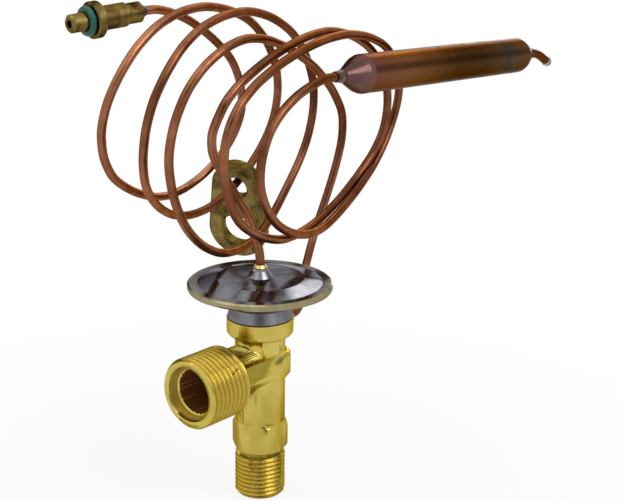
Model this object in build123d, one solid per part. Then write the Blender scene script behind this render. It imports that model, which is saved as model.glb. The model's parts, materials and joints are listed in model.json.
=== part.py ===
from build123d import *
import math
import os

# Thermostatic expansion valve, right angle, with an external equalizer line and a remote
# sensing bulb. Millimetres. +Z runs up the inlet axis, the origin is the centre of the inlet
# face and the outlet points along -X.

# Threads, drawn as plain cylinders of the major diameter.
INLET_THREAD_DIAMETER = 15.875
INLET_THREAD_LENGTH = 13.7
OUTLET_THREAD_DIAMETER = 22.225
OUTLET_THREAD_LENGTH = 15.4
THREAD_CHAMFER = 1.0
RELIEF_LENGTH = 1.4
RELIEF_DEPTH = 0.4

# Forged body.
HEX_ACROSS_FLATS = 15.5
HEX_LENGTH = 10.4
HEX_CHAMFER_LENGTH = 1.9
BARREL_DIAMETER = 15.8
BARREL_LENGTH = 13.7
BLOCK_WIDTH = 16.2
BLOCK_SIDE_HEIGHT = 9.1
BLOCK_BACK_RADIUS = 9.6
BLOCK_BACK_BEVEL = 2.0
NECK_LENGTH = 5.3
COLLAR_DIAMETER = 20.9
COLLAR_HEIGHT = 5.7
COLLAR_EDGE_RADIUS = 1.6
OUTLET_DROP = 5.5
OUTLET_REACH = 32.2

# Bores.
INLET_BORE_DIAMETER = 10.6
INLET_BORE_DEPTH = 6.8
INLET_MOUTH_CHAMFER = 1.1
CHAMBER_DIAMETER = 9.6
OUTLET_BORE_DIAMETER = 13.4
OUTLET_BORE_DEPTH = 14.6
OUTLET_RECESS_DIAMETER = 17.2
OUTLET_RECESS_DEPTH = 2.8
OUTLET_RECESS_LEDGE = 1.1
GALLERY_DIAMETER = 8.4
GALLERY_PAST_AXIS = 3.2
PASSAGE_DIAMETER = 6.4
PASSAGE_LENGTH = 4.4
SOCKET_DEPTH = 4.7

# Metering pieces.
SEAT_HEIGHT = 3.2
ORIFICE_DIAMETER = 3.8
BALL_DIAMETER = 6.0
BALL_GAP = 0.04
STEM_DIAMETER = 3.0
STEM_TIP_DIAMETER = 2.2
STEM_CLEARANCE = 0.05
SEAL_DIAMETER = 6.4
SEAL_HEIGHT = 1.6
WASHER_HEIGHT = 0.6
CARRIER_DIAMETER = 8.6
CARRIER_HEIGHT = 3.0
SPRING_LENGTH = 8.4
SPRING_WIRE = 0.9
SPRING_TURNS = 4.5
SPRING_DIAMETER = 7.5
SPRING_SPIGOT_CLEARANCE = 0.3
SPIGOT_LENGTH = 1.2
SPRING_SEAT_HEIGHT = 1.4
FLOW_HOLE_DIAMETER = 2.6
NUT_HEIGHT = 3.2
NUT_CLEARANCE = 0.05
NUT_SOCKET_ACROSS_FLATS = 4.5
STRAINER_FLANGE = 1.2
STRAINER_SEAT_DIAMETER = 10.2
STRAINER_LENGTH = 3.4
STRAINER_WALL = 0.5
STRAINER_SLOTS = 8
STRAINER_SLOT_WIDTH = 0.7

# Power element.
GASKET_THICKNESS = 0.4
HUB_DIAMETER = 20.5
HUB_TOP_DIAMETER = 18.6
HUB_HEIGHT = 3.4
SPIGOT_DEPTH = 2.5
SPIGOT_DIAMETER = 16.4
SPIGOT_WALL = 1.7
SHELL_THICKNESS = 0.9
LOWER_CUP_HEIGHT = 6.4
CUP_FLOOR_DIAMETER = 26.0
RIM_DIAMETER = 45.2
RIM_LAND = 2.6
RIM_LIP = 0.6
DIAPHRAGM_THICKNESS = 0.2
DIAPHRAGM_DISH = 1.1
PAD_DIAMETER = 24.0
PAD_THICKNESS = 1.5
PAD_HUB_DIAMETER = 9.0
DOME_RISE = 1.8
DOME_BOSS_BASE_DIAMETER = 8.0
DOME_BOSS_TOP_DIAMETER = 5.2
DOME_BOSS_HEIGHT = 2.9

# Copper lines.
TUBE_DIAMETER = 2.82
BRAZE_HEIGHT = 0.9
BRAZE_WIDTH = 1.1
LINE_SOCKET_DEPTH = 2.4
LINE_TURN = -50.0
LINE_SUBDIVISIONS = 2
ARC_SHARE = 0.45

# Equalizer connection on the collar.
EQUALIZER_AZIMUTH = 0.0
EQUALIZER_BOSS_DIAMETER = 6.4
EQUALIZER_BOSS_REACH = 12.6
EQUALIZER_PORT_DIAMETER = 1.6
EQUALIZER_BOSS_RISE = 2.4

# Equalizer fitting, measured along its own axis from the tube end.
FITTING_COLLAR_DIAMETER = 6.6
FITTING_COLLAR_LENGTH = 5.6
FITTING_BARREL_DIAMETER = 7.6
FITTING_BARREL_LENGTH = 9.8
FITTING_FLANGE_DIAMETER = 11.5
FITTING_FLANGE_LENGTH = 3.2
FITTING_NOSE_DIAMETER = 5.75
FITTING_NOSE_LENGTH = 7.4
FITTING_BORE_DIAMETER = 2.6
FITTING_BRAZE_LENGTH = 1.8
ORING_SECTION = 2.2
ORING_GROOVE_DEPTH = 0.35

# Sensing bulb.
BULB_DIAMETER = 12.7
BULB_LENGTH = 104.5
BULB_NEAR_CONE = 9.6
BULB_FAR_CONE = 10.0
BULB_NECK_DIAMETER = 4.2
BULB_BRAZE_LENGTH = 3.2
FILL_TUBE_DIAMETER = 3.2
FILL_TUBE_LENGTH = 15.5
FILL_TUBE_SAG = 2.2
SOLDER_TIP_DIAMETER = 3.8
SOLDER_TIP_LENGTH = 3.4

# Clamp plate, hung on the equalizer line by its smaller hole.
PLATE_EYE_DIAMETER = 18.4
PLATE_HEAD_DIAMETER = 21.4
PLATE_CENTRES = 17.6
PLATE_THICKNESS = 5.0
PLATE_EDGE = 0.6
PLATE_TUBE_HOLE = 8.0
PLATE_BOLT_HOLE = 12.0
PLATE_PLACE = 370.0
PLATE_DROP = 1.75
PLATE_FACING = (-0.36, -0.895, -0.264)
PLATE_LEAN = -6.0

# Route of the lines: across, away and up from the centre of the rim plane, in a frame
# turned by LINE_TURN about the inlet axis. Both lines are bent by hand, so the turns
# differ. The capillary runs from the dome boss to the bulb.
CAPILLARY_ROUTE = [
    (-4, 1, 22.5), (-14, -7, 43), (-12, -11, 55), (-6, -6, 64), (7, 16, 71),
    (21, 46, 71.5), (34, 64, 63.5), (41, 71, 49), (40, 71, 32), (31.5, 63.5, 18.6),
    (19, 38.5, 10.5), (6, 6, 12.5), (-6, -11, 23), (-10, -18, 40), (-8, -20, 55),
    (-1, -11, 65), (12, 15, 70.5), (27, 46, 70.5), (40, 67, 63), (45.6, 77, 49),
    (43.4, 78, 34), (36.4, 67.3, 20.3), (24.4, 42.5, 10.8), (15, 18, 10.8), (5, 1, 19),
    (0, -7, 34), (3, -6, 50), (11, 3, 59),
]
BULB_NECK = (24.3, 24.1, 60.8)
BULB_HEADING = (0.581, 0.809, -0.085)

# The equalizer line runs from its fitting to the boss on the collar.
FITTING_TAIL = (-38.4, 27.6, 79.8)
FITTING_HEADING = (-0.745, -0.664, -0.05)
EQUALIZER_ROUTE = [
    (-25, 49, 74), (-12, 71, 57), (-9, 80, 37), (-17, 78, 20.5), (-28, 69, 12),
    (-37, 45, 15), (-47, 17, 29), (-48, 1, 48), (-42, -1, 65), (-32, 10, 78),
    (-19, 33, 81), (-5, 60, 72), (3, 76, 54), (2, 82, 34), (-7, 76, 17),
    (-19, 58, 8), (-30, 34, 12), (-36, 10, 28), (-34, -3, 50), (-28, -2, 66),
    (-19, 13, 77), (-5, 38, 79), (9, 61, 68), (16, 75, 48), (14, 78, 28),
    (7, 68, 13), (-2, 41, 3), (-13, 15, 5), (-23, -2, 19), (-27, -10, 42),
    (-21, -10, 63), (-10, 0, 74), (1, 21, 73), (16, 50, 59), (26, 70, 39),
    (24, 75, 19), (17.5, 69, -1), (14, 56, -11), (12.5, 38, -13), (12.5, 24, -13.6),
]

# Heights along the inlet axis.
HEX_BOTTOM = INLET_THREAD_LENGTH + RELIEF_LENGTH
HEX_TOP = HEX_BOTTOM + HEX_LENGTH
BLOCK_SIDE_BOTTOM = HEX_TOP + BARREL_LENGTH
BLOCK_TOP = BLOCK_SIDE_BOTTOM + BLOCK_SIDE_HEIGHT
COLLAR_BOTTOM = BLOCK_TOP + NECK_LENGTH
COLLAR_TOP = COLLAR_BOTTOM + COLLAR_HEIGHT
OUTLET_HEIGHT = BLOCK_TOP - OUTLET_DROP
SOCKET_FLOOR = COLLAR_TOP - SOCKET_DEPTH
SEAT_TOP = OUTLET_HEIGHT - GALLERY_DIAMETER / 2 - PASSAGE_LENGTH
SEAT_BOTTOM = SEAT_TOP - SEAT_HEIGHT
HUB_BOTTOM = COLLAR_TOP + GASKET_THICKNESS
HUB_TOP = HUB_BOTTOM + HUB_HEIGHT
RIM_PLANE = HUB_TOP + LOWER_CUP_HEIGHT
PAD_TOP = RIM_PLANE - DIAPHRAGM_DISH
DOME_BOSS_TOP = RIM_PLANE + DIAPHRAGM_THICKNESS + SHELL_THICKNESS + DOME_RISE + DOME_BOSS_HEIGHT

# Radii shared between pieces.
TUBE_RADIUS = TUBE_DIAMETER / 2
HEX_CORNER = HEX_ACROSS_FLATS / math.sqrt(3)
CHAMBER_RADIUS = CHAMBER_DIAMETER / 2
BALL_RADIUS = BALL_DIAMETER / 2
STEM_RADIUS = STEM_DIAMETER / 2
SPIGOT_OUTER = SPIGOT_DIAMETER / 2
SPIGOT_INNER = SPIGOT_OUTER - SPIGOT_WALL
SPRING_SPIGOT = SPRING_DIAMETER / 2 - SPRING_WIRE - SPRING_SPIGOT_CLEARANCE

# The seat is a 45 degree cone that opens downward from the orifice by SEAT_CONE.
SEAT_CONE = 1.0
BALL_HEIGHT = (SEAT_BOTTOM + SEAT_CONE + ORIFICE_DIAMETER / 2) - math.sqrt(2) * (BALL_RADIUS + BALL_GAP)
CARRIER_TOP = BALL_HEIGHT - 0.3 * BALL_RADIUS
CARRIER_BOTTOM = CARRIER_TOP - CARRIER_HEIGHT
SPRING_BOTTOM = CARRIER_BOTTOM - SPRING_LENGTH
NUT_TOP = SPRING_BOTTOM - SPRING_SEAT_HEIGHT
NUT_BOTTOM = NUT_TOP - NUT_HEIGHT


def turned(*outline):
    """A solid of revolution about Z from a closed outline of (radius, height) points."""
    points = [(radius, 0, height) for radius, height in outline]
    return revolve(make_face(Polyline(*points, close=True)), Axis.Z)


def rod(radius, bottom, top):
    """An upright round bar on the inlet axis."""
    return Pos(0, 0, bottom) * Cylinder(radius, top - bottom, align=(Align.CENTER, Align.CENTER, Align.MIN))


def ring(outer, inner, bottom, top):
    """An upright round bar with a hole through it."""
    return turned((inner, bottom), (outer, bottom), (outer, top), (inner, top))


def outlet_axis_solid(solid):
    """Lays a solid that stands on the origin along the outlet axis, its base at the mouth."""
    return Pos(-OUTLET_REACH, 0, OUTLET_HEIGHT) * Rot(0, 90, 0) * solid


def line_frame(point):
    """A point of the line frame, above the rim plane, in the part's own frame."""
    turn = math.radians(LINE_TURN)
    across, away, up = point
    x = across * math.cos(turn) - away * math.sin(turn)
    y = across * math.sin(turn) + away * math.cos(turn)
    return Vector(x, y, RIM_PLANE + up)


def line_direction(heading):
    """A direction of the line frame in the part's own frame."""
    return (line_frame(heading) - line_frame((0, 0, 0))).normalized()


def smoothed(points, divisions):
    """Points on a smooth curve through the given ones, each span cut into equal divisions."""
    first = points[0] * 2 - points[1]
    last = points[-1] * 2 - points[-2]
    padded = [first] + points + [last]
    curve = [points[0]]
    for index in range(1, len(padded) - 2):
        before, start, end, after = padded[index - 1:index + 3]
        for step in range(1, divisions + 1):
            t = step / divisions
            pull = (end - before) * t
            bend = (before * 2 - start * 5 + end * 4 - after) * t ** 2
            twist = (start * 3 - before - end * 3 + after) * t ** 3
            curve.append((start * 2 + pull + bend + twist) * 0.5)
    return curve


def bent_path(points):
    """Straight runs joined by tangent arcs, each arc as large as its two runs allow."""
    radii = []
    for before, corner, after in zip(points, points[1:], points[2:]):
        arriving = corner - before
        leaving = after - corner
        half_turn = math.radians(arriving.get_angle(leaving)) / 2
        shorter = min(arriving.length, leaving.length)
        radii.append(ARC_SHARE * shorter / math.tan(half_turn))
    return FilletPolyline(*points, radius=radii)


def tube(path, radius):
    """A round bar swept along a path of lines and arcs."""
    section = Plane(origin=path @ 0, z_dir=path % 0) * Circle(radius)
    return sweep(section, path=path)


def straight_lead(braze_length):
    """How far outside its joint a line has its first corner, to stay straight in the braze."""
    return (braze_length + ARC_SHARE * LINE_SOCKET_DEPTH) / (1 - ARC_SHARE) + TUBE_DIAMETER / 4


def capillary_path():
    start = Vector(0, 0, DOME_BOSS_TOP - LINE_SOCKET_DEPTH)
    lift = Vector(0, 0, DOME_BOSS_TOP + straight_lead(BRAZE_HEIGHT))
    route = [line_frame(point) for point in CAPILLARY_ROUTE]
    neck = line_frame(BULB_NECK)
    heading = line_direction(BULB_HEADING)
    lead = neck - heading * straight_lead(BULB_BRAZE_LENGTH)
    end = neck + heading * LINE_SOCKET_DEPTH
    return bent_path([start] + smoothed([lift] + route + [lead], LINE_SUBDIVISIONS) + [end])


def equalizer_boss_point(reach):
    """A point on the axis of the equalizer boss, this far from the inlet axis."""
    azimuth = math.radians(EQUALIZER_AZIMUTH)
    height = COLLAR_BOTTOM + EQUALIZER_BOSS_RISE
    return Vector(reach * math.cos(azimuth), reach * math.sin(azimuth), height)


def equalizer_path():
    tail = line_frame(FITTING_TAIL)
    heading = line_direction(FITTING_HEADING)
    start = tail + heading * LINE_SOCKET_DEPTH
    first = tail - heading * straight_lead(FITTING_BRAZE_LENGTH)
    route = [line_frame(point) for point in EQUALIZER_ROUTE]
    last = equalizer_boss_point(EQUALIZER_BOSS_REACH + straight_lead(BRAZE_HEIGHT))
    end = equalizer_boss_point(EQUALIZER_BOSS_REACH - LINE_SOCKET_DEPTH)
    return bent_path([start] + smoothed([first] + route + [last], LINE_SUBDIVISIONS) + [end])


def equalizer_boss_solid(solid):
    """Lays a solid that stands on the origin along the equalizer boss, pointing outward."""
    place = Pos(*equalizer_boss_point(0))
    return place * Rot(0, 0, EQUALIZER_AZIMUTH) * Rot(0, 90, 0) * solid


def valve_body():
    thread = INLET_THREAD_DIAMETER / 2
    barrel = BARREL_DIAMETER / 2
    collar = COLLAR_DIAMETER / 2
    relief = thread - RELIEF_DEPTH
    body = turned(
        (0, 0), (thread - THREAD_CHAMFER, 0), (thread, THREAD_CHAMFER), (thread, INLET_THREAD_LENGTH),
        (relief, INLET_THREAD_LENGTH), (relief, HEX_BOTTOM + RELIEF_DEPTH),
        (HEX_ACROSS_FLATS / 2, HEX_BOTTOM + RELIEF_DEPTH), (HEX_ACROSS_FLATS / 2, HEX_TOP - RELIEF_DEPTH),
        (barrel, HEX_TOP), (barrel, COLLAR_BOTTOM), (0, COLLAR_BOTTOM))
    body += collar_solid(collar)
    body += hexagon_band() + outlet_block() + outlet_spud()
    body += equalizer_boss_solid(rod(EQUALIZER_BOSS_DIAMETER / 2, 0, EQUALIZER_BOSS_REACH))
    for cut in (inlet_bore(), outlet_bore(), stem_bore(), equalizer_bore()):
        body -= cut
    return body


def collar_solid(radius):
    collar = rod(radius, COLLAR_BOTTOM, COLLAR_TOP)
    lower_edge = collar.edges().group_by(Axis.Z)[0]
    return fillet(lower_edge, COLLAR_EDGE_RADIUS)


def hexagon_band():
    flat = HEX_ACROSS_FLATS / 2
    prism = Pos(0, 0, HEX_BOTTOM) * extrude(RegularPolygon(HEX_CORNER, 6), HEX_LENGTH)
    low = HEX_BOTTOM + HEX_CHAMFER_LENGTH
    high = HEX_TOP - HEX_CHAMFER_LENGTH
    turned_ends = turned(
        (0, HEX_BOTTOM), (flat - RELIEF_DEPTH, HEX_BOTTOM), (HEX_CORNER, low), (HEX_CORNER, high),
        (flat, HEX_TOP), (0, HEX_TOP))
    return prism & turned_ends


def outlet_block():
    half = BLOCK_WIDTH / 2
    reach = OUTLET_REACH - OUTLET_THREAD_LENGTH
    corner = (Align.MIN, Align.CENTER, Align.MIN)
    arm = Pos(-reach, 0, OUTLET_HEIGHT) * Box(reach, BLOCK_WIDTH, OUTLET_DROP, align=corner)
    arm += Pos(-reach, 0, OUTLET_HEIGHT) * Rot(0, 90, 0) * rod(half, 0, reach)
    back = Box(BLOCK_BACK_RADIUS, BLOCK_WIDTH, BLOCK_SIDE_HEIGHT, align=corner)
    barrel = BARREL_DIAMETER / 2
    low = BLOCK_SIDE_BOTTOM + BLOCK_BACK_BEVEL
    high = BLOCK_TOP - BLOCK_BACK_BEVEL / 2
    drum = turned((0, BLOCK_SIDE_BOTTOM), (barrel, BLOCK_SIDE_BOTTOM), (BLOCK_BACK_RADIUS, low),
                  (BLOCK_BACK_RADIUS, high), (BLOCK_BACK_RADIUS - BLOCK_BACK_BEVEL / 2, BLOCK_TOP),
                  (0, BLOCK_TOP))
    return arm + (Pos(0, 0, BLOCK_SIDE_BOTTOM) * back & drum)


def outlet_spud():
    thread = OUTLET_THREAD_DIAMETER / 2
    face = thread - THREAD_CHAMFER
    return outlet_axis_solid(turned(
        (0, 0), (face, 0), (thread, THREAD_CHAMFER), (thread, OUTLET_THREAD_LENGTH),
        (0, OUTLET_THREAD_LENGTH)))


def inlet_bore():
    bore = INLET_BORE_DIAMETER / 2
    chamfer = INLET_MOUTH_CHAMFER
    passage = PASSAGE_DIAMETER / 2
    strainer = STRAINER_SEAT_DIAMETER / 2
    strainer_top = INLET_BORE_DEPTH + STRAINER_FLANGE
    return turned(
        (0, -chamfer), (bore + 2 * chamfer, -chamfer), (bore, chamfer), (bore, INLET_BORE_DEPTH),
        (strainer, INLET_BORE_DEPTH), (strainer, strainer_top), (CHAMBER_RADIUS, strainer_top),
        (CHAMBER_RADIUS, SEAT_TOP), (passage, SEAT_TOP),
        (passage, OUTLET_HEIGHT), (0, OUTLET_HEIGHT))


def outlet_bore():
    recess = OUTLET_RECESS_DIAMETER / 2
    bore = OUTLET_BORE_DIAMETER / 2
    ledge = OUTLET_RECESS_LEDGE
    gallery = GALLERY_DIAMETER / 2
    floor = OUTLET_REACH + GALLERY_PAST_AXIS
    return outlet_axis_solid(turned(
        (0, -ledge), (recess, -ledge), (recess, OUTLET_RECESS_DEPTH), (recess - ledge, OUTLET_RECESS_DEPTH),
        (bore, OUTLET_RECESS_DEPTH + ledge / 2), (bore, OUTLET_BORE_DEPTH), (gallery, OUTLET_BORE_DEPTH),
        (gallery, floor), (0, floor)))


def stem_bore():
    guide = STEM_RADIUS + STEM_CLEARANCE
    seal_floor = SOCKET_FLOOR - SEAL_HEIGHT - WASHER_HEIGHT
    return turned(
        (0, OUTLET_HEIGHT), (guide, OUTLET_HEIGHT), (guide, seal_floor), (SEAL_DIAMETER / 2, seal_floor),
        (SEAL_DIAMETER / 2, SOCKET_FLOOR), (SPIGOT_OUTER, SOCKET_FLOOR), (SPIGOT_OUTER, COLLAR_TOP + 1),
        (0, COLLAR_TOP + 1))


def equalizer_bore():
    socket = rod(TUBE_RADIUS, EQUALIZER_BOSS_REACH - LINE_SOCKET_DEPTH, EQUALIZER_BOSS_REACH + 1)
    port = rod(EQUALIZER_PORT_DIAMETER / 2, SPIGOT_INNER, EQUALIZER_BOSS_REACH)
    return equalizer_boss_solid(socket + port)


def valve_seat():
    orifice = ORIFICE_DIAMETER / 2
    return turned(
        (orifice + SEAT_CONE, SEAT_BOTTOM), (CHAMBER_RADIUS, SEAT_BOTTOM), (CHAMBER_RADIUS, SEAT_TOP),
        (orifice, SEAT_TOP), (orifice, SEAT_BOTTOM + SEAT_CONE))


def valve_ball():
    return Pos(0, 0, BALL_HEIGHT) * Sphere(BALL_RADIUS)


def ball_carrier():
    radius = CARRIER_DIAMETER / 2
    carrier = turned(
        (0, CARRIER_BOTTOM - SPIGOT_LENGTH), (SPRING_SPIGOT, CARRIER_BOTTOM - SPIGOT_LENGTH),
        (SPRING_SPIGOT, CARRIER_BOTTOM), (radius, CARRIER_BOTTOM), (radius, CARRIER_TOP), (0, CARRIER_TOP))
    slot = Pos(radius, 0, (CARRIER_BOTTOM + CARRIER_TOP) / 2) * Box(radius / 2, radius / 2, CARRIER_HEIGHT + 1)
    for index in range(3):
        carrier -= Rot(0, 0, index * 120) * slot
    return carrier - valve_ball()


def valve_stem():
    tip = STEM_TIP_DIAMETER / 2
    shoulder = SEAT_TOP + 1.0
    top = PAD_TOP - PAD_THICKNESS
    return turned(
        (0, BALL_HEIGHT + BALL_RADIUS), (tip, BALL_HEIGHT + BALL_RADIUS), (tip, shoulder),
        (STEM_RADIUS, shoulder + STEM_RADIUS - tip), (STEM_RADIUS, top), (0, top))


def stem_seal():
    bottom = SOCKET_FLOOR - SEAL_HEIGHT - WASHER_HEIGHT
    return ring(SEAL_DIAMETER / 2, STEM_RADIUS + STEM_CLEARANCE, bottom, bottom + SEAL_HEIGHT)


def seal_washer():
    return ring(SEAL_DIAMETER / 2, STEM_RADIUS + STEM_CLEARANCE, SOCKET_FLOOR - WASHER_HEIGHT, SOCKET_FLOOR)


def superheat_spring():
    wire = SPRING_WIRE / 2
    radius = SPRING_DIAMETER / 2 - wire
    pitch = SPRING_LENGTH / SPRING_TURNS
    helix = Pos(0, 0, SPRING_BOTTOM) * Helix(pitch, SPRING_LENGTH, radius)
    coil = sweep(Plane(origin=helix @ 0, z_dir=helix % 0) * Circle(wire), path=helix, is_frenet=True)
    return coil & rod(SPRING_DIAMETER, SPRING_BOTTOM, CARRIER_BOTTOM)


def spring_seat():
    radius = CARRIER_DIAMETER / 2
    hole = FLOW_HOLE_DIAMETER / 2
    return turned(
        (hole, NUT_TOP), (radius, NUT_TOP), (radius, SPRING_BOTTOM), (SPRING_SPIGOT, SPRING_BOTTOM),
        (SPRING_SPIGOT, SPRING_BOTTOM + SPIGOT_LENGTH), (hole, SPRING_BOTTOM + SPIGOT_LENGTH))


def adjusting_nut():
    nut = rod(CHAMBER_RADIUS - NUT_CLEARANCE, NUT_BOTTOM, NUT_TOP)
    socket = RegularPolygon(NUT_SOCKET_ACROSS_FLATS / math.sqrt(3), 6)
    return nut - Pos(0, 0, NUT_BOTTOM) * extrude(socket, NUT_HEIGHT)


def inlet_strainer():
    outer = STRAINER_SEAT_DIAMETER / 2
    wall = STRAINER_WALL
    base = CHAMBER_RADIUS - wall
    crown = base / 2
    shoulder = INLET_BORE_DEPTH + STRAINER_FLANGE
    top = shoulder + STRAINER_LENGTH
    cage = turned(
        (base - wall, INLET_BORE_DEPTH), (outer, INLET_BORE_DEPTH), (outer, shoulder), (base, shoulder),
        (crown, top), (0, top), (0, top - wall), (crown - wall, top - wall), (base - wall, shoulder))
    slot = Pos(outer / 2, 0, shoulder + STRAINER_LENGTH / 2)
    slot *= Box(outer, STRAINER_SLOT_WIDTH, STRAINER_LENGTH / 2)
    for index in range(STRAINER_SLOTS):
        cage -= Rot(0, 0, index * 360 / STRAINER_SLOTS) * slot
    return cage


def element_gasket():
    return ring(HUB_DIAMETER / 2, SPIGOT_OUTER, COLLAR_TOP, HUB_BOTTOM)


def lower_housing():
    hub = HUB_DIAMETER / 2
    hub_top = HUB_TOP_DIAMETER / 2
    floor = CUP_FLOOR_DIAMETER / 2
    wall = SHELL_THICKNESS
    rim = RIM_DIAMETER / 2 - RIM_LIP
    land = rim - RIM_LAND
    spigot_bottom = COLLAR_TOP - SPIGOT_DEPTH
    floor_height = HUB_TOP + 0.25 * LOWER_CUP_HEIGHT
    return turned(
        (SPIGOT_INNER, spigot_bottom), (SPIGOT_OUTER, spigot_bottom), (SPIGOT_OUTER, HUB_BOTTOM),
        (hub, HUB_BOTTOM), (hub_top, HUB_TOP), (floor, floor_height), (land + wall / 2, RIM_PLANE - wall),
        (rim, RIM_PLANE - wall), (rim, RIM_PLANE), (land, RIM_PLANE),
        (floor - wall / 2, floor_height + wall), (SPIGOT_INNER, HUB_TOP + wall / 2))


def diaphragm():
    rim = RIM_DIAMETER / 2 - RIM_LIP
    land = rim - RIM_LAND - SHELL_THICKNESS
    pad = PAD_DIAMETER / 2
    thin = DIAPHRAGM_THICKNESS
    return turned(
        (0, PAD_TOP), (pad, PAD_TOP), (land, RIM_PLANE), (rim, RIM_PLANE), (rim, RIM_PLANE + thin),
        (land, RIM_PLANE + thin), (pad, PAD_TOP + thin), (0, PAD_TOP + thin))


def diaphragm_pad():
    pad = PAD_DIAMETER / 2
    hub = PAD_HUB_DIAMETER / 2
    bottom = PAD_TOP - PAD_THICKNESS
    hub_bottom = COLLAR_TOP
    return turned(
        (STEM_RADIUS, hub_bottom), (hub, hub_bottom), (hub, bottom - 1), (hub + 1, bottom), (pad, bottom),
        (pad, PAD_TOP), (0, PAD_TOP), (0, bottom), (STEM_RADIUS, bottom))


def upper_housing():
    lip = RIM_DIAMETER / 2
    rim = lip - RIM_LIP
    land = rim - RIM_LAND
    wall = SHELL_THICKNESS
    under = RIM_PLANE + DIAPHRAGM_THICKNESS
    over = under + wall
    crown = over + DOME_RISE
    shoulder = 0.7 * land
    base = DOME_BOSS_BASE_DIAMETER / 2
    tip = DOME_BOSS_TOP_DIAMETER / 2
    return turned(
        (TUBE_RADIUS, crown - wall), (shoulder, crown - 1.4 * wall), (land, under), (rim, under),
        (rim, RIM_PLANE - wall), (lip - RIM_LIP / 3, RIM_PLANE - wall),
        (lip, RIM_PLANE - wall / 2), (lip, over - wall / 2), (lip - RIM_LIP, over), (land, over),
        (shoulder, crown - 0.4 * wall), (base, crown), (tip, DOME_BOSS_TOP - tip / 3),
        (tip - tip / 3, DOME_BOSS_TOP), (TUBE_RADIUS, DOME_BOSS_TOP))


def capillary_braze():
    outer = DOME_BOSS_TOP_DIAMETER / 2 * 2 / 3 + TUBE_RADIUS / 3
    return turned(
        (TUBE_RADIUS, DOME_BOSS_TOP), (outer, DOME_BOSS_TOP),
        (TUBE_RADIUS + 0.2, DOME_BOSS_TOP + BRAZE_HEIGHT), (TUBE_RADIUS, DOME_BOSS_TOP + BRAZE_HEIGHT))


def equalizer_braze():
    reach = EQUALIZER_BOSS_REACH
    outer = TUBE_RADIUS + BRAZE_WIDTH
    return equalizer_boss_solid(turned(
        (TUBE_RADIUS, reach), (outer, reach), (TUBE_RADIUS + 0.2, reach + BRAZE_HEIGHT),
        (TUBE_RADIUS, reach + BRAZE_HEIGHT)))


def capillary_tube():
    return tube(capillary_path(), TUBE_RADIUS)


def equalizer_tube():
    return tube(equalizer_path(), TUBE_RADIUS)


def bulb_place(solid):
    """Lays a solid that stands on the origin along the bulb, its base at the near neck, its +X downward."""
    heading = line_direction(BULB_HEADING)
    downward = (heading * heading.Z - Vector(0, 0, 1)).normalized()
    return Location(Plane(origin=line_frame(BULB_NECK), x_dir=downward, z_dir=heading)) * solid


def sensing_bulb():
    neck = BULB_NECK_DIAMETER / 2
    body = BULB_DIAMETER / 2
    far_rim = BULB_NEAR_CONE + BULB_LENGTH
    end = far_rim + BULB_FAR_CONE
    socket = LINE_SOCKET_DEPTH
    tail = FILL_TUBE_DIAMETER / 2
    return bulb_place(turned(
        (0, socket), (TUBE_RADIUS, socket), (TUBE_RADIUS, 0), (neck, 0), (neck, 0.1 * BULB_NEAR_CONE),
        (body - 0.08 * body, BULB_NEAR_CONE - 0.08 * body), (body, BULB_NEAR_CONE + 0.2 * body),
        (body, far_rim - 0.2 * body), (body - 0.08 * body, far_rim + 0.08 * body),
        (neck, end - 0.1 * BULB_FAR_CONE), (neck, end), (tail, end), (tail, end - socket), (0, end - socket)))


def bulb_braze():
    return bulb_place(turned(
        (TUBE_RADIUS, 0), (BULB_NECK_DIAMETER / 2, 0), (TUBE_RADIUS + 0.3, -BULB_BRAZE_LENGTH),
        (TUBE_RADIUS, -BULB_BRAZE_LENGTH)))


def fill_tube_path():
    start = BULB_NEAR_CONE + BULB_LENGTH + BULB_FAR_CONE - LINE_SOCKET_DEPTH
    run = FILL_TUBE_LENGTH / 3
    points = [Vector(0, 0, start), Vector(0, 0, start + run), Vector(FILL_TUBE_SAG / 2, 0, start + 2 * run),
              Vector(1.5 * FILL_TUBE_SAG, 0, start + 3 * run)]
    return bent_path(points)


def bulb_fill_tube():
    return bulb_place(tube(fill_tube_path(), FILL_TUBE_DIAMETER / 2))


def fill_tube_solder():
    path = fill_tube_path()
    tip = SOLDER_TIP_DIAMETER / 2
    skirt = FILL_TUBE_DIAMETER / 2
    blob = turned((0, 0), (skirt, 0), (tip, SOLDER_TIP_LENGTH / 3), (0.8 * tip, 0.8 * SOLDER_TIP_LENGTH),
                  (0.3 * tip, SOLDER_TIP_LENGTH), (0, SOLDER_TIP_LENGTH))
    return bulb_place(Location(Plane(origin=path @ 1, z_dir=path % 1)) * blob)


def fitting_place(solid):
    """Lays a solid that stands on the origin along the fitting, its base at the tube end."""
    return Location(Plane(origin=line_frame(FITTING_TAIL), z_dir=line_direction(FITTING_HEADING))) * solid


def equalizer_fitting():
    collar = FITTING_COLLAR_DIAMETER / 2
    barrel = FITTING_BARREL_DIAMETER / 2
    flange = FITTING_FLANGE_DIAMETER / 2
    nose = FITTING_NOSE_DIAMETER / 2
    groove = nose - ORING_GROOVE_DEPTH
    bore = FITTING_BORE_DIAMETER / 2
    step = FITTING_COLLAR_LENGTH
    back = step + FITTING_BARREL_LENGTH
    front = back + FITTING_FLANGE_LENGTH
    groove_end = front + ORING_SECTION
    end = front + FITTING_NOSE_LENGTH
    edge = 0.5
    return fitting_place(turned(
        (TUBE_RADIUS, 0), (collar - 2 * edge, 0), (collar, edge), (collar, step), (barrel, step + edge),
        (barrel, back), (flange - edge, back), (flange, back + edge), (flange, front - edge),
        (flange - edge, front), (groove, front), (groove, groove_end), (nose, groove_end),
        (nose, end - edge), (nose - edge, end), (bore, end), (bore, LINE_SOCKET_DEPTH),
        (TUBE_RADIUS, LINE_SOCKET_DEPTH)))


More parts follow.
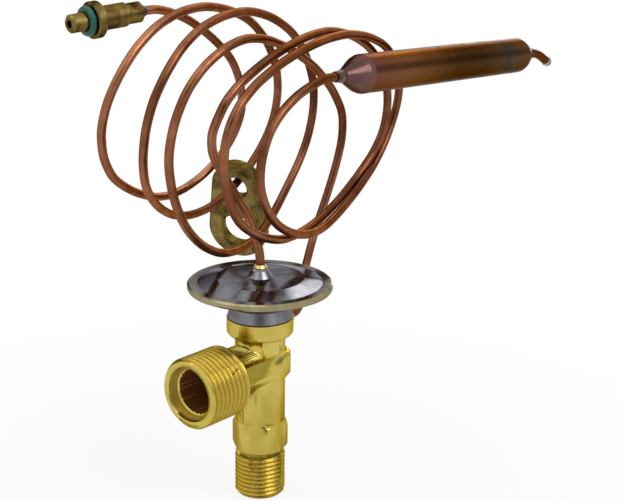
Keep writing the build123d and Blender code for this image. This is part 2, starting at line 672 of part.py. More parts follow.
def fitting_braze():
    return fitting_place(turned(
        (TUBE_RADIUS, 0), (TUBE_RADIUS, -FITTING_BRAZE_LENGTH), (TUBE_RADIUS + 0.25, -FITTING_BRAZE_LENGTH),
        (FITTING_COLLAR_DIAMETER / 2 - BRAZE_WIDTH, 0)))


def equalizer_oring():
    section = ORING_SECTION / 2
    front = FITTING_COLLAR_LENGTH + FITTING_BARREL_LENGTH + FITTING_FLANGE_LENGTH
    middle = FITTING_NOSE_DIAMETER / 2 - ORING_GROOVE_DEPTH + section
    return fitting_place(Pos(0, 0, front + section) * Torus(middle, section))


def plate_plane():
    """The clamp plate's middle plane: it hangs just below the line's axis, its length nearly upright."""
    path = equalizer_path()
    facing = line_direction(PLATE_FACING)
    upright = (Vector(0, 0, 1) - facing * facing.Z).normalized().rotate(Axis((0, 0, 0), facing), PLATE_LEAN)
    hanger = path @ (PLATE_PLACE / path.length)
    return Plane(origin=hanger - upright * PLATE_DROP, x_dir=upright, z_dir=facing)


def clamp_plate():
    eye = Circle(PLATE_EYE_DIAMETER / 2)
    head = Pos(-PLATE_CENTRES, 0) * Circle(PLATE_HEAD_DIAMETER / 2)
    holes = Circle(PLATE_TUBE_HOLE / 2) + Pos(-PLATE_CENTRES, 0) * Circle(PLATE_BOLT_HOLE / 2)
    outline = make_hull(eye.edges() + head.edges()) - holes
    blank = extrude(outline, PLATE_THICKNESS / 2, both=True)
    return Location(plate_plane()) * chamfer(blank.edges().filter_by(Axis.Z, reverse=True), PLATE_EDGE)


PIECES = {
    "valve_body": valve_body, "valve_seat": valve_seat, "valve_ball": valve_ball,
    "ball_carrier": ball_carrier, "valve_stem": valve_stem, "stem_seal": stem_seal,
    "seal_washer": seal_washer, "superheat_spring": superheat_spring, "spring_seat": spring_seat,
    "adjusting_nut": adjusting_nut, "inlet_strainer": inlet_strainer, "element_gasket": element_gasket,
    "lower_housing": lower_housing, "diaphragm": diaphragm, "diaphragm_pad": diaphragm_pad,
    "upper_housing": upper_housing, "capillary_braze": capillary_braze,
    "capillary_tube": capillary_tube, "bulb_braze": bulb_braze, "sensing_bulb": sensing_bulb,
    "bulb_fill_tube": bulb_fill_tube, "fill_tube_solder": fill_tube_solder,
    "equalizer_braze": equalizer_braze, "equalizer_tube": equalizer_tube,
    "fitting_braze": fitting_braze, "equalizer_fitting": equalizer_fitting,
    "equalizer_oring": equalizer_oring, "clamp_plate": clamp_plate,
}

os.makedirs("parts", exist_ok=True)
for name, build in PIECES.items():
    export_step(build(), f"parts/{name}.step")
for name, path in (("capillary", capillary_path()), ("equalizer", equalizer_path())):
    arcs = [edge.radius for edge in path.edges() if edge.geom_type == GeomType.CIRCLE]
    print(f"{name} line {path.length:.0f} mm long, arc radii {min(arcs):.1f} to {max(arcs):.1f} mm")
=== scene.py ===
import bpy
import json
import math
from mathutils import Matrix, Vector


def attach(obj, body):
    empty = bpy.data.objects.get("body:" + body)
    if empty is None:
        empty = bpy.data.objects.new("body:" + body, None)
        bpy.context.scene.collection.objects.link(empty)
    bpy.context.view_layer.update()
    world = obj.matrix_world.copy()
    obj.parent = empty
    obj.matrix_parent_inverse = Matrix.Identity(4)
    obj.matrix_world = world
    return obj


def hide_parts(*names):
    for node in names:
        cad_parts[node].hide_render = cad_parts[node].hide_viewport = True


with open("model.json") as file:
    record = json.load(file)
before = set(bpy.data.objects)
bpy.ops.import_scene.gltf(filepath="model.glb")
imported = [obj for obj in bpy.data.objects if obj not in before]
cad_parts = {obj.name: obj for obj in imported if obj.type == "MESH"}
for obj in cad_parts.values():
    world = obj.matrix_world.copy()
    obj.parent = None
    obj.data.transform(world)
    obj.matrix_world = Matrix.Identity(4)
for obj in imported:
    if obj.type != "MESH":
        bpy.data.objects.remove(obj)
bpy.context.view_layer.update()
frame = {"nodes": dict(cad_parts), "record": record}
nodes = frame["nodes"]
mm = 0.001
lineTurn = math.radians(-50.0)  # the two lines and the studio are laid out turned by this


def lineDirection(across, away, up):
    return Matrix.Rotation(lineTurn, 3, "Z") @ Vector((across, away, up))


def deselectAll():
    if bpy.context.object and bpy.context.object.mode != "OBJECT":
        bpy.ops.object.mode_set(mode="OBJECT")
    bpy.ops.object.select_all(action="DESELECT")


def makeActive(piece):
    deselectAll()
    piece.select_set(True)
    bpy.context.view_layer.objects.active = piece


def placeInMesh(piece):
    makeActive(piece)
    bpy.ops.object.transform_apply(location=True, rotation=True, scale=True)


def applyModifiers(piece):
    makeActive(piece)
    for modifier in list(piece.modifiers):
        bpy.ops.object.modifier_apply(modifier=modifier.name)


def outwardNormals(piece):
    makeActive(piece)
    bpy.ops.object.mode_set(mode="EDIT")
    bpy.ops.mesh.select_all(action="SELECT")
    bpy.ops.mesh.remove_doubles(threshold=1e-6)
    bpy.ops.mesh.normals_make_consistent(inside=False)
    bpy.ops.object.mode_set(mode="OBJECT")


cameraSetup = {
    "place": (-0.3486, -0.3135, 0.2287),
    "turn": -50.0,
    "tilt": 72.5,
    "roll": 0.63,  # the camera leans a little sideways
    "lens": 92.16,
    "sensor": 36.0,
}


def addCamera(setup):
    bpy.ops.object.camera_add()
    camera = bpy.context.object
    turn = Matrix.Rotation(math.radians(setup["turn"]), 4, "Z")
    tilt = Matrix.Rotation(math.radians(setup["tilt"]), 4, "X")
    roll = Matrix.Rotation(math.radians(setup["roll"]), 4, "Z")
    camera.matrix_world = Matrix.Translation(setup["place"]) @ turn @ tilt @ roll
    camera.data.lens = setup["lens"]
    camera.data.sensor_width = setup["sensor"]
    bpy.context.scene.camera = camera


studio = {
    "floorSize": 6.0,
    "floorDrop": 0.0005,
    "background": (1.0, 1.0, 1.0, 1.0),
    "floorColour": (0.94, 0.94, 0.94, 1.0),
    "floorGlow": 0.88,
    "shadowReach": 0.06,
    "surroundTop": (0.95, 0.96, 0.98, 1.0),
    "surroundLow": (0.12, 0.11, 0.10, 1.0),
    "surroundStrength": 0.42,
    "horizonBlend": 0.55,
    "darkSides": (  # direction across, away and up, then where its dimming starts and is full
        ((0.9281, 0.2652, 0.26), 0.93, 0.99),  # right
        ((0.0468, -0.9564, 0.28), 0.90, 0.98),  # towards the camera
        ((-0.4077, 0.8725, 0.20), 0.90, 0.98),  # behind, to the left
    ),
    "darkest": 0.22,
    "lampTarget": (0, 0, 0.08),
    "lamps": (  # name, place across, away and up, size, power
        ("keyPanel", (0.6372, -0.4461, 0.75), (0.6, 0.6), 3.6),  # right front, above
        ("backStrip", (0.2231, 0.7502, 0.35), (0.2, 0.7), 1.3),  # behind
        ("topPanel", (-0.3447, -0.0608, 0.95), (1.2, 0.9), 2.4),  # above, to the left
    ),
}


def addLamp(name, place, size, power, target):
    bpy.ops.object.light_add(type="AREA", location=place)
    lamp = bpy.context.object
    lamp.name = name
    lamp.data.shape = "RECTANGLE"
    lamp.data.size = size[0]
    lamp.data.size_y = size[1]
    lamp.data.energy = power
    aim = Vector(target) - Vector(place)
    lamp.rotation_euler = aim.to_track_quat("-Z", "Y").to_euler()


def seenRay(tree):
    path = tree.nodes.new("ShaderNodeLightPath")
    seen = path.outputs["Is Camera Ray"]
    for name in ("Is Glossy Ray", "Is Transmission Ray"):
        either = tree.nodes.new("ShaderNodeMath")
        either.operation = "MAXIMUM"
        tree.links.new(seen, either.inputs[0])
        tree.links.new(path.outputs[name], either.inputs[1])
        seen = either.outputs[0]
    return seen


def shadedBackground(tree, setup):
    direction = tree.nodes.new("ShaderNodeTexCoord").outputs["Generated"]
    shade = None
    for side, start, full in setup["darkSides"]:
        product = tree.nodes.new("ShaderNodeVectorMath")
        product.operation = "DOT_PRODUCT"
        product.inputs[1].default_value = lineDirection(*side)
        tree.links.new(direction, product.inputs[0])
        fade = tree.nodes.new("ShaderNodeMapRange")
        fade.interpolation_type = "SMOOTHSTEP"
        fade.inputs["From Min"].default_value = start
        fade.inputs["From Max"].default_value = full
        fade.inputs["To Min"].default_value = 1.0
        fade.inputs["To Max"].default_value = setup["darkest"]
        tree.links.new(product.outputs["Value"], fade.inputs["Value"])
        if shade is None:
            shade = fade.outputs[0]
            continue
        lower = tree.nodes.new("ShaderNodeMath")
        lower.operation = "MINIMUM"
        tree.links.new(shade, lower.inputs[0])
        tree.links.new(fade.outputs[0], lower.inputs[1])
        shade = lower.outputs[0]
    camera = tree.nodes.new("ShaderNodeLightPath").outputs["Is Camera Ray"]
    strength = tree.nodes.new("ShaderNodeMath")
    strength.operation = "MAXIMUM"
    tree.links.new(camera, strength.inputs[0])
    tree.links.new(shade, strength.inputs[1])
    return strength.outputs[0]


def addStudio(setup):
    world = bpy.data.worlds.new("studioWorld")
    bpy.context.scene.world = world
    world.use_nodes = True
    tree = world.node_tree
    tree.nodes.clear()
    output = tree.nodes.new("ShaderNodeOutputWorld")
    mixer = tree.nodes.new("ShaderNodeMixShader")
    plain = tree.nodes.new("ShaderNodeBackground")
    plain.inputs["Color"].default_value = setup["background"]
    tree.links.new(shadedBackground(tree, setup), plain.inputs["Strength"])
    surround = tree.nodes.new("ShaderNodeBackground")
    surround.inputs["Strength"].default_value = setup["surroundStrength"]
    direction = tree.nodes.new("ShaderNodeTexCoord")
    split = tree.nodes.new("ShaderNodeSeparateXYZ")
    ramp = tree.nodes.new("ShaderNodeValToRGB")
    ramp.color_ramp.elements[0].position = 0.0
    ramp.color_ramp.elements[0].color = setup["surroundLow"]
    ramp.color_ramp.elements[1].position = setup["horizonBlend"]
    ramp.color_ramp.elements[1].color = setup["surroundTop"]
    tree.links.new(direction.outputs["Generated"], split.inputs[0])
    tree.links.new(split.outputs["Z"], ramp.inputs["Fac"])
    tree.links.new(ramp.outputs["Color"], surround.inputs["Color"])
    tree.links.new(seenRay(tree), mixer.inputs["Fac"])
    tree.links.new(surround.outputs[0], mixer.inputs[1])
    tree.links.new(plain.outputs[0], mixer.inputs[2])
    tree.links.new(mixer.outputs[0], output.inputs["Surface"])


def addFloor(setup):
    bpy.ops.mesh.primitive_plane_add(size=setup["floorSize"], location=(0, 0, -setup["floorDrop"]))
    floor = bpy.context.object
    floor.name = "studioFloor"
    material = bpy.data.materials.new("paleFloor")
    material.use_nodes = True
    tree = material.node_tree
    tree.nodes.clear()
    output = tree.nodes.new("ShaderNodeOutputMaterial")
    matte = tree.nodes.new("ShaderNodeBsdfDiffuse")
    matte.inputs["Color"].default_value = setup["floorColour"]
    white = tree.nodes.new("ShaderNodeEmission")
    white.inputs["Color"].default_value = setup["background"]
    mixer = tree.nodes.new("ShaderNodeMixShader")
    reach = tree.nodes.new("ShaderNodeVectorMath")
    reach.operation = "LENGTH"
    tree.links.new(tree.nodes.new("ShaderNodeTexCoord").outputs["Object"], reach.inputs[0])
    fade = tree.nodes.new("ShaderNodeMapRange")
    fade.inputs["From Min"].default_value = setup["shadowReach"]
    fade.inputs["From Max"].default_value = 3 * setup["shadowReach"]
    fade.inputs["To Min"].default_value = setup["floorGlow"]
    tree.links.new(reach.outputs["Value"], fade.inputs["Value"])
    share = tree.nodes.new("ShaderNodeMath")
    share.operation = "MULTIPLY"
    tree.links.new(fade.outputs[0], share.inputs[1])
    tree.links.new(seenRay(tree), share.inputs[0])
    tree.links.new(share.outputs[0], mixer.inputs["Fac"])
    tree.links.new(matte.outputs[0], mixer.inputs[1])
    tree.links.new(white.outputs[0], mixer.inputs[2])
    tree.links.new(mixer.outputs[0], output.inputs["Surface"])
    floor.data.materials.append(material)


addCamera(cameraSetup)
addStudio(studio)
addFloor(studio)
for name, place, size, power in studio["lamps"]:
    addLamp(name, lineDirection(*place), size, power, studio["lampTarget"])
print("studio ready")


# sizes of the two threads, in mm
threads = {
    "inlet": {"major": 7.9375, "root": 7.09, "pitch": 1.411, "start": -1.4, "end": 13.7},
    "outlet": {"major": 11.1125, "root": 10.02, "pitch": 1.814, "start": -1.8, "end": 15.4},
    "outletReach": 32.2,
    "outletHeight": 42.8,
    "stepsPerTurn": 72,
    "rootHalf": 0.07,  # half widths of a groove, as shares of the pitch
    "crestHalf": 0.42,
    "cutterStandOff": 0.8,
}

# outlet mouth in mm: depths run in from the end face
mouth = {
    "boreRadius": (6.75, 6.85),
    "boreDepth": (2.0, 40.0),
    "recessRadius": (8.62, 8.7),
    "recessDepth": (0.4, 2.95),
    "threadRadius": (9.2, 9.5),
    "grooveRadius": (9.4, 9.6),
    "threadStart": 0.9,
    "grooveStart": 1.0,
}


bevelSamples = 6


# materials: every pattern reads the piece's own coordinates
class Finish:
    def __init__(self, name):
        self.material = bpy.data.materials.new(name)
        self.material.use_nodes = True
        self.tree = self.material.node_tree
        self.surface = self.tree.nodes["Principled BSDF"]
        self.place = self.tree.nodes.new("ShaderNodeTexCoord").outputs["Object"]

    def link(self, source, target):
        self.tree.links.new(source, target)

    def noise(self, scale, detail=4.0, roughness=0.55, stretch=(1, 1, 1), distortion=0.0):
        mapping = self.tree.nodes.new("ShaderNodeMapping")
        mapping.inputs["Scale"].default_value = stretch
        texture = self.tree.nodes.new("ShaderNodeTexNoise")
        texture.inputs["Scale"].default_value = scale
        texture.inputs["Detail"].default_value = detail
        texture.inputs["Roughness"].default_value = roughness
        texture.inputs["Distortion"].default_value = distortion
        self.link(self.place, mapping.inputs["Vector"])
        self.link(mapping.outputs[0], texture.inputs["Vector"])
        return texture.outputs["Fac"]

    def ramp(self, source, *stops):
        node = self.tree.nodes.new("ShaderNodeValToRGB")
        elements = node.color_ramp.elements
        while len(elements) < len(stops):
            elements.new(0.5)
        for element, (position, colour) in zip(elements, stops):
            element.position = position
            element.color = (*colour, 1.0)
        self.link(source, node.inputs["Fac"])
        return node.outputs["Color"]

    def grey(self, source, low, high, fromLow=0.0, fromHigh=1.0):
        node = self.tree.nodes.new("ShaderNodeMapRange")
        node.inputs["From Min"].default_value = fromLow
        node.inputs["From Max"].default_value = fromHigh
        node.inputs["To Min"].default_value = low
        node.inputs["To Max"].default_value = high
        self.link(source, node.inputs["Value"])
        return node.outputs[0]

    def mix(self, factor, first, second):
        node = self.tree.nodes.new("ShaderNodeMix")
        node.data_type = "RGBA"
        for value, socket in ((factor, node.inputs[0]), (first, node.inputs[6]), (second, node.inputs[7])):
            if isinstance(value, bpy.types.NodeSocket):
                self.link(value, socket)
            else:
                socket.default_value = (*value, 1.0)
        return node.outputs[2]

    def maths(self, operation, first, second):
        node = self.tree.nodes.new("ShaderNodeMath")
        node.operation = operation
        for value, socket in ((first, node.inputs[0]), (second, node.inputs[1])):
            if isinstance(value, bpy.types.NodeSocket):
                self.link(value, socket)
            else:
                socket.default_value = value
        return node.outputs[0]

    def along(self, origin, axis):
        shifted = self.tree.nodes.new("ShaderNodeVectorMath")
        shifted.operation = "SUBTRACT"
        shifted.inputs[1].default_value = origin
        product = self.tree.nodes.new("ShaderNodeVectorMath")
        product.operation = "DOT_PRODUCT"
        product.inputs[1].default_value = axis
        self.link(self.place, shifted.inputs[0])
        self.link(shifted.outputs[0], product.inputs[0])
        return product.outputs["Value"]

    def radius(self, origin=(0, 0, 0), across=(1, 1, 0)):
        shifted = self.tree.nodes.new("ShaderNodeVectorMath")
        shifted.operation = "SUBTRACT"
        shifted.inputs[1].default_value = origin
        flat = self.tree.nodes.new("ShaderNodeVectorMath")
        flat.operation = "MULTIPLY"
        flat.inputs[1].default_value = across
        length = self.tree.nodes.new("ShaderNodeVectorMath")
        length.operation = "LENGTH"
        self.link(self.place, shifted.inputs[0])
        self.link(shifted.outputs[0], flat.inputs[0])
        self.link(flat.outputs[0], length.inputs[0])
        return length.outputs["Value"]

    def within(self, source, low, high, soft):
        rise = self.grey(source, 0.0, 1.0, low, low + soft)
        fall = self.grey(source, 1.0, 0.0, high - soft, high)
        return self.maths("MULTIPLY", rise, fall)

    def roundEdges(self, width):
        node = self.tree.nodes.new("ShaderNodeBevel")
        node.samples = bevelSamples
        node.inputs["Radius"].default_value = width
        self.link(node.outputs[0], self.surface.inputs["Normal"])

    def bump(self, source, strength, distance):
        node = self.tree.nodes.new("ShaderNodeBump")
        node.inputs["Strength"].default_value = strength
        node.inputs["Distance"].default_value = distance
        self.link(source, node.inputs["Height"])
        previous = self.surface.inputs["Normal"]
        if previous.is_linked:
            self.link(previous.links[0].from_socket, node.inputs["Normal"])
        self.link(node.outputs[0], previous)

    def set(self, **values):
        for name, value in values.items():
            socket = self.surface.inputs[name.replace("_", " ").title()]
            if isinstance(value, bpy.types.NodeSocket):
                self.link(value, socket)
            elif isinstance(value, tuple):
                socket.default_value = (*value, 1.0)
            else:
                socket.default_value = value


forgedBrassLook = {
    "tones": ((0.30, (0.47, 0.34, 0.06)), (0.48, (0.58, 0.46, 0.10)), (0.70, (0.66, 0.54, 0.15))),
    "stain": (0.36, 0.22, 0.04),
    "stainShare": 0.3,
    # painted shade: the thread zone is coloured a deeper gold
    "thread": (0.48, 0.33, 0.035),
    "threadShadeShare": 0.6,
    # painted shade: darker colour in the thread grooves
    "groove": (0.24, 0.135, 0.01),
    "grooveShadeShare": 0.92,
    # painted shade: darker colour in the outlet's recess
    "recess": (0.26, 0.15, 0.015),
    "recessShadeShare": 0.85,
    "recessRoughness": 0.2,  # added to the skin's own
    # painted shade: dark colour deep in the outlet bore
    "bore": (0.20, 0.075, 0.018),
    "edgeTint": (0.55, 0.45, 0.25),
    "roughness": (0.20, 0.36),
    "edgeRound": 0.25 * mm,
}


def forgedBrass(look):
    brass = Finish("forgedBrass")
    brass.roundEdges(look["edgeRound"])
    colour = brass.ramp(brass.noise(45.0, 5.0, 0.6, distortion=0.4), *look["tones"])
    stains = brass.ramp(brass.noise(260.0, 6.0, 0.7), (0.60, (0, 0, 0)), (0.74, (1, 1, 1)))
    recess = recessMask(brass)
    bore = boreShadeMask(brass)
    colour = brass.mix(brass.maths("MULTIPLY", stains, look["stainShare"]), colour, look["stain"])
    # painted shade: the thread zone is coloured a deeper gold
    threadShadeShare = brass.maths("MULTIPLY", threadShadeMask(brass), look["threadShadeShare"])
    colour = brass.mix(threadShadeShare, colour, look["thread"])
    # painted shade darkens the thread grooves
    grooveShadeShare = brass.maths("MULTIPLY", grooveShadeMask(brass), look["grooveShadeShare"])
    colour = brass.mix(grooveShadeShare, colour, look["groove"])
    # painted shade in the outlet's recess
    colour = brass.mix(brass.maths("MULTIPLY", recess, look["recessShadeShare"]), colour, look["recess"])
    # painted shade deep in the outlet bore
    colour = brass.mix(bore, colour, look["bore"])
    brass.set(metallic=brass.grey(bore, 1.0, 0.0))  # painted shade: the bore is coloured dark and made non-metallic
    brass.set(base_color=colour, specular_tint=look["edgeTint"])
    polish = brass.grey(brass.noise(180.0, 5.0, 0.7), *look["roughness"], 0.3, 0.7)
    dulled = brass.maths("MULTIPLY", recess, look["recessRoughness"])
    brass.set(roughness=brass.maths("ADD", polish, dulled))
    brass.bump(brass.noise(900.0, 3.0, 0.5), 0.25, 0.00006)
    brass.bump(brass.noise(140.0, 4.0, 0.55), 0.35, 0.00025)
    return brass.material


def height(brass):
    return brass.along((0, 0, 0), (0, 0, 1))


def outletRadius(brass):
    return brass.radius((0, 0, threads["outletHeight"] * mm), (0, 1, 1))


def outletRun(brass):
    return brass.along((-threads["outletReach"] * mm, 0, 0), (1, 0, 0))


def outsideOf(brass, radii):
    return brass.grey(outletRadius(brass), 0.0, 1.0, radii[0] * mm, radii[1] * mm)


def insideOf(brass, radii):
    return brass.grey(outletRadius(brass), 1.0, 0.0, radii[0] * mm, radii[1] * mm)


# where the threads get their painted shade
def threadShadeMask(brass):
    inlet = brass.within(height(brass), 0.0, threads["inlet"]["end"] * mm, 0.3 * mm)
    end = threads["outlet"]["end"] * mm
    outlet = brass.within(outletRun(brass), mouth["threadStart"] * mm, end, 0.3 * mm)
    outlet = brass.maths("MULTIPLY", outlet, outsideOf(brass, mouth["threadRadius"]))
    return brass.maths("MAXIMUM", inlet, outlet)


# where the thread grooves get their painted shade
def grooveShadeMask(brass):
    inletSizes = threads["inlet"]
    outletSizes = threads["outlet"]
    inlet = brass.grey(brass.radius(), 1.0, 0.0, inletSizes["root"] * mm, inletSizes["major"] * mm)
    inletSpan = brass.within(height(brass), 0.0, inletSizes["end"] * mm, 0.2 * mm)
    inlet = brass.maths("MULTIPLY", inlet, inletSpan)
    outlet = insideOf(brass, (outletSizes["root"], outletSizes["major"]))
    start = mouth["grooveStart"] * mm
    outletSpan = brass.within(outletRun(brass), start, outletSizes["end"] * mm, 0.2 * mm)
    outlet = brass.maths("MULTIPLY", outlet, outsideOf(brass, mouth["grooveRadius"]))
    outlet = brass.maths("MULTIPLY", outlet, outletSpan)
    return brass.maths("MAXIMUM", inlet, outlet)


# where the outlet bore gets its painted shade
def boreShadeMask(brass):
    start, end = mouth["boreDepth"]
    depth = brass.within(outletRun(brass), start * mm, end * mm, 0.3 * mm)
    return brass.maths("MULTIPLY", depth, insideOf(brass, mouth["boreRadius"]))


# where the outlet's recess gets its painted shade and extra roughness
def recessMask(brass):
    start, end = mouth["recessDepth"]
    depth = brass.within(outletRun(brass), start * mm, end * mm, 0.1 * mm)
    return brass.maths("MULTIPLY", depth, insideOf(brass, mouth["recessRadius"]))


stainedBrassLook = {
    "tones": ((0.38, (0.06, 0.035, 0.012)), (0.50, (0.17, 0.12, 0.035)), (0.66, (0.30, 0.235, 0.075))),
    "edgeTint": (0.4, 0.32, 0.2),
}


def stainedBrass(look):
    brass = Finish("stainedBrass")
    colour = brass.ramp(brass.noise(120.0, 6.0, 0.65, distortion=0.8), *look["tones"])
    brass.set(metallic=1.0, base_color=colour, specular_tint=look["edgeTint"])
    brass.set(roughness=brass.grey(brass.noise(300.0, 5.0, 0.7), 0.26, 0.5, 0.3, 0.7))
    brass.bump(brass.noise(420.0, 5.0, 0.6), 0.4, 0.0002)
    return brass.material


def turnedBrass():
    brass = Finish("turnedBrass")
    colour = brass.ramp(brass.noise(200.0), (0.3, (0.62, 0.46, 0.13)), (0.7, (0.80, 0.64, 0.26)))
    brass.set(metallic=1.0, base_color=colour, roughness=0.28)
    brass.bump(brass.noise(60.0, 2.0, 0.5, (1, 1, 40)), 0.2, 0.00005)
    return brass.material


housingLook = {
    "face": ((0.3, (0.13, 0.115, 0.12)), (0.52, (0.21, 0.21, 0.225)), (0.75, (0.28, 0.28, 0.295))),
    "edge": ((0.3, (0.28, 0.235, 0.10)), (0.7, (0.40, 0.35, 0.18))),
    "edgeRadius": (0.0207, 0.0217),  # the rolled rim is yellowed past this, in metres
    "edgeTint": (0.5, 0.5, 0.53),
    "roughness": (0.09, 0.2),
    "spigotRoughness": 0.2,  # added below the spigot's top
    "spigotTop": (64.0 * mm, 66.0 * mm),
}


def housingSteel(look):
    steel = Finish("housingSteel")
    start, full = look["edgeRadius"]
    rim = steel.ramp(steel.radius(), (start, (0, 0, 0)), (full, (1, 1, 1)))
    haze = steel.noise(90.0, 4.0, 0.6, distortion=1.0)
    colour = steel.mix(rim, steel.ramp(haze, *look["face"]), steel.ramp(haze, *look["edge"]))
    steel.set(metallic=1.0, base_color=colour, specular_tint=look["edgeTint"])
    polish = steel.grey(steel.noise(400.0, 5.0, 0.7), *look["roughness"], 0.35, 0.7)
    spigot = steel.grey(height(steel), look["spigotRoughness"], 0.0, *look["spigotTop"])
    steel.set(roughness=steel.maths("ADD", polish, spigot))
    steel.bump(steel.noise(250.0, 3.0, 0.5), 0.12, 0.00008)
    return steel.material


def plainSteel(name, colour, roughness):
    steel = Finish(name)
    shade = steel.ramp(steel.noise(300.0), (0.3, tuple(0.85 * c for c in colour)), (0.7, colour))
    steel.set(metallic=1.0, base_color=shade, roughness=roughness)
    steel.bump(steel.noise(900.0), 0.15, 0.00003)
    return steel.material


copperLineLook = {
    "tones": (
        (0.30, (0.12, 0.042, 0.018)), (0.46, (0.22, 0.080, 0.036)),
        (0.60, (0.34, 0.135, 0.068)), (0.76, (0.46, 0.21, 0.12)),
    ),
    "rightShade": (0.09, 0.032, 0.014),  # painted shade: the loops darken from left to right
    "rightShadeShare": 0.65,
    "rightShadeSpan": (-20.0 * mm, 60.0 * mm),
    "speck": (0.05, 0.018, 0.01),
    "speckShare": 0.45,
    "edgeTint": (0.6, 0.45, 0.38),
}


def copperLine(look):
    copper = Finish("copperLine")
    colour = copper.ramp(copper.noise(38.0, 5.0, 0.6, distortion=0.6), *look["tones"])
    # painted shade: the loops get darker towards the right
    across = copper.grey(copper.along((0, 0, 0), lineDirection(1, 0, 0)), 0.0, 1.0, *look["rightShadeSpan"])
    colour = copper.mix(copper.maths("MULTIPLY", across, look["rightShadeShare"]), colour, look["rightShade"])
    specks = copper.ramp(copper.noise(700.0, 4.0, 0.7), (0.58, (0, 0, 0)), (0.72, (1, 1, 1)))
    colour = copper.mix(copper.maths("MULTIPLY", specks, look["speckShare"]), colour, look["speck"])
    copper.set(metallic=1.0, base_color=colour, specular_tint=look["edgeTint"])
    copper.set(roughness=copper.grey(copper.noise(220.0, 5.0, 0.7), 0.22, 0.42, 0.3, 0.7))
    copper.bump(copper.noise(500.0, 4.0, 0.6), 0.25, 0.00008)
    return copper.material


bulbLook = {
    "neck": (24.3, 24.1, 60.8),  # across, away and above the rim, in mm
    "rimPlane": 69.5,
    "heading": (0.581, 0.809, -0.085),
    "length": 124.1,
    "wander": 0.22,
    "tones": (  # from the neck to the far end
        (0.00, (0.09, 0.050, 0.050)), (0.07, (0.15, 0.075, 0.068)), (0.12, (0.18, 0.074, 0.046)),
        (0.24, (0.19, 0.084, 0.040)), (0.36, (0.14, 0.064, 0.032)), (0.48, (0.080, 0.042, 0.020)),
        (0.62, (0.07, 0.042, 0.024)), (0.74, (0.095, 0.060, 0.036)), (0.81, (0.06, 0.060, 0.058)),
        (0.86, (0.12, 0.070, 0.040)), (1.00, (0.15, 0.080, 0.048)),
    ),
    "edgeTint": (0.45, 0.38, 0.34),
}


def bulbCopper(look):
    copper = Finish("bulbCopper")
    neck = lineDirection(*look["neck"])
    neck.z += look["rimPlane"]
    axis = lineDirection(*look["heading"]).normalized()
    along = copper.grey(copper.along(neck * mm, axis), 0.0, 1.0, 0.0, look["length"] * mm)
    drift = copper.maths("SUBTRACT", copper.noise(55.0, 5.0, 0.65, distortion=1.2), 0.5)
    place = copper.maths("ADD", along, copper.maths("MULTIPLY", drift, look["wander"]))
    colour = copper.ramp(place, *look["tones"])
    copper.set(metallic=1.0, base_color=colour, specular_tint=look["edgeTint"])
    copper.set(roughness=copper.grey(copper.noise(200.0, 5.0, 0.7), 0.18, 0.36, 0.3, 0.7))
    copper.bump(copper.noise(260.0, 4.0, 0.6), 0.2, 0.0001)
    return copper.material


def brazeFinish(name, low, high, roughness):
    braze = Finish(name)
    colour = braze.ramp(braze.noise(500.0, 5.0, 0.6), (0.35, low), (0.65, high))
    braze.set(metallic=0.9, base_color=colour, roughness=roughness)
    braze.bump(braze.noise(900.0, 3.0, 0.5), 0.5, 0.0002)
    return braze.material


def greenRubber():
    rubber = Finish("greenRubber")
    colour = rubber.ramp(rubber.noise(600.0), (0.35, (0.006, 0.085, 0.055)), (0.65, (0.012, 0.14, 0.095)))
    rubber.set(base_color=colour, roughness=0.45)
    rubber.bump(rubber.noise(1500.0), 0.2, 0.00004)
    return rubber.material


def smoothPlastic(name, colour):
    plastic = Finish(name)
    shade = plastic.ramp(plastic.noise(400.0), (0.35, tuple(0.9 * c for c in colour)), (0.65, colour))
    plastic.set(base_color=shade, roughness=0.5)
    plastic.bump(plastic.noise(1200.0), 0.1, 0.00003)
    return plastic.material


finishes = {
    "forged_brass": forgedBrass(forgedBrassLook),
    "stained_brass": stainedBrass(stainedBrassLook),
    "turned_brass": turnedBrass(),
    "housing_steel": housingSteel(housingLook),
    "diaphragm_steel": plainSteel("diaphragmSteel", (0.66, 0.66, 0.68), 0.25),
    "seat_steel": plainSteel("seatSteel", (0.45, 0.45, 0.46), 0.2),
    "spring_steel": plainSteel("springSteel", (0.52, 0.52, 0.54), 0.3),
    "copper_line": copperLine(copperLineLook),
    "bulb_copper": bulbCopper(bulbLook),
    "braze": brazeFinish("goldBraze", (0.62, 0.42, 0.12), (0.86, 0.66, 0.26), 0.22),
    "dark_braze": brazeFinish("darkBraze", (0.05, 0.035, 0.025), (0.20, 0.13, 0.08), 0.45),
    "solder": brazeFinish("greySolder", (0.18, 0.18, 0.18), (0.52, 0.52, 0.50), 0.42),
    "green_rubber": greenRubber(),
    "seal_ptfe": smoothPlastic("sealPlastic", (0.80, 0.80, 0.78)),
    "gasket": smoothPlastic("jointCompound", (0.03, 0.03, 0.028)),
}


def finishNodes():
    for part in frame["record"]["subparts"]:
        node = nodes[part["node"]]
        node.data.materials.clear()
        node.data.materials.append(finishes[part["material_slot"]])


finishNodes()
print("finishes ready")


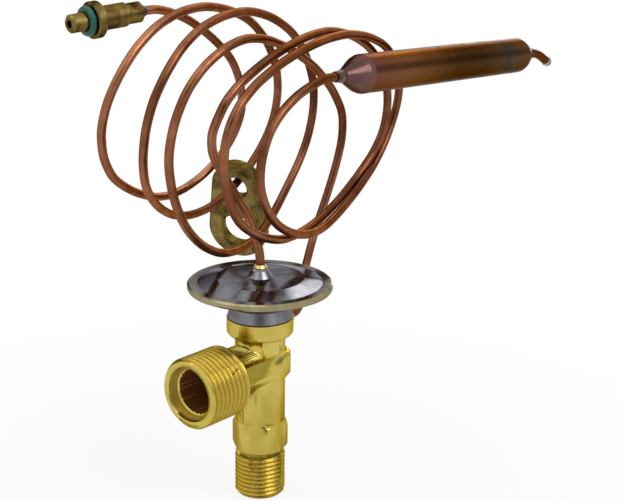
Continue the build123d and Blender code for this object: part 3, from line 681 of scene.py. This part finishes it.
# the body's two threads are cut into a copy of the plain body
def threadGroove(name, thread):
    pitch = thread["pitch"]
    major = thread["major"]
    root = thread["root"]
    out = major + threads["cutterStandOff"]
    low = threads["rootHalf"]
    high = threads["crestHalf"]
    outline = ((root, -low), (root, low), (major, high), (out, high), (out, -high), (major, -high))
    deselectAll()
    bpy.ops.mesh.primitive_circle_add(vertices=len(outline), radius=mm, fill_type="NOTHING")
    groove = bpy.context.object
    groove.name = name
    for vertex, (radius, rise) in zip(groove.data.vertices, outline):
        vertex.co = Vector((radius, 0, thread["start"] + rise * pitch)) * mm
    screw = groove.modifiers.new("turns", "SCREW")
    screw.axis = "Z"
    screw.screw_offset = pitch * mm
    screw.iterations = int((thread["end"] - thread["start"]) / pitch + 0.5)
    screw.steps = threads["stepsPerTurn"]
    screw.render_steps = threads["stepsPerTurn"]
    applyModifiers(groove)
    makeActive(groove)
    bpy.ops.object.mode_set(mode="EDIT")
    bpy.ops.mesh.select_all(action="DESELECT")
    bpy.ops.mesh.select_non_manifold()
    bpy.ops.mesh.edge_face_add()
    bpy.ops.object.mode_set(mode="OBJECT")
    return groove


def cutAway(piece, cutter):
    cut = piece.modifiers.new("cut", "BOOLEAN")
    cut.operation = "DIFFERENCE"
    cut.solver = "EXACT"
    cut.object = cutter
    applyModifiers(piece)
    bpy.data.objects.remove(cutter)


def threadedBody():
    source = nodes["valve_body"]
    body = bpy.data.objects.new("threadedBody", source.data.copy())
    bpy.context.scene.collection.objects.link(body)
    outwardNormals(body)
    for name in ("inlet", "outlet"):
        groove = threadGroove(name + "Groove", threads[name])
        if name == "outlet":
            groove.rotation_euler = (0, math.radians(90), 0)
            groove.location = Vector((-threads["outletReach"], 0, threads["outletHeight"])) * mm
            placeInMesh(groove)
        outwardNormals(groove)
        cutAway(body, groove)
    makeActive(body)
    bpy.ops.object.shade_smooth_by_angle(angle=math.radians(32))
    print("threads cut,", len(body.data.polygons), "faces")
    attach(body, "valve")
    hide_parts("valve_body")


threadedBody()

bpy.context.scene.view_settings.view_transform = "Standard"
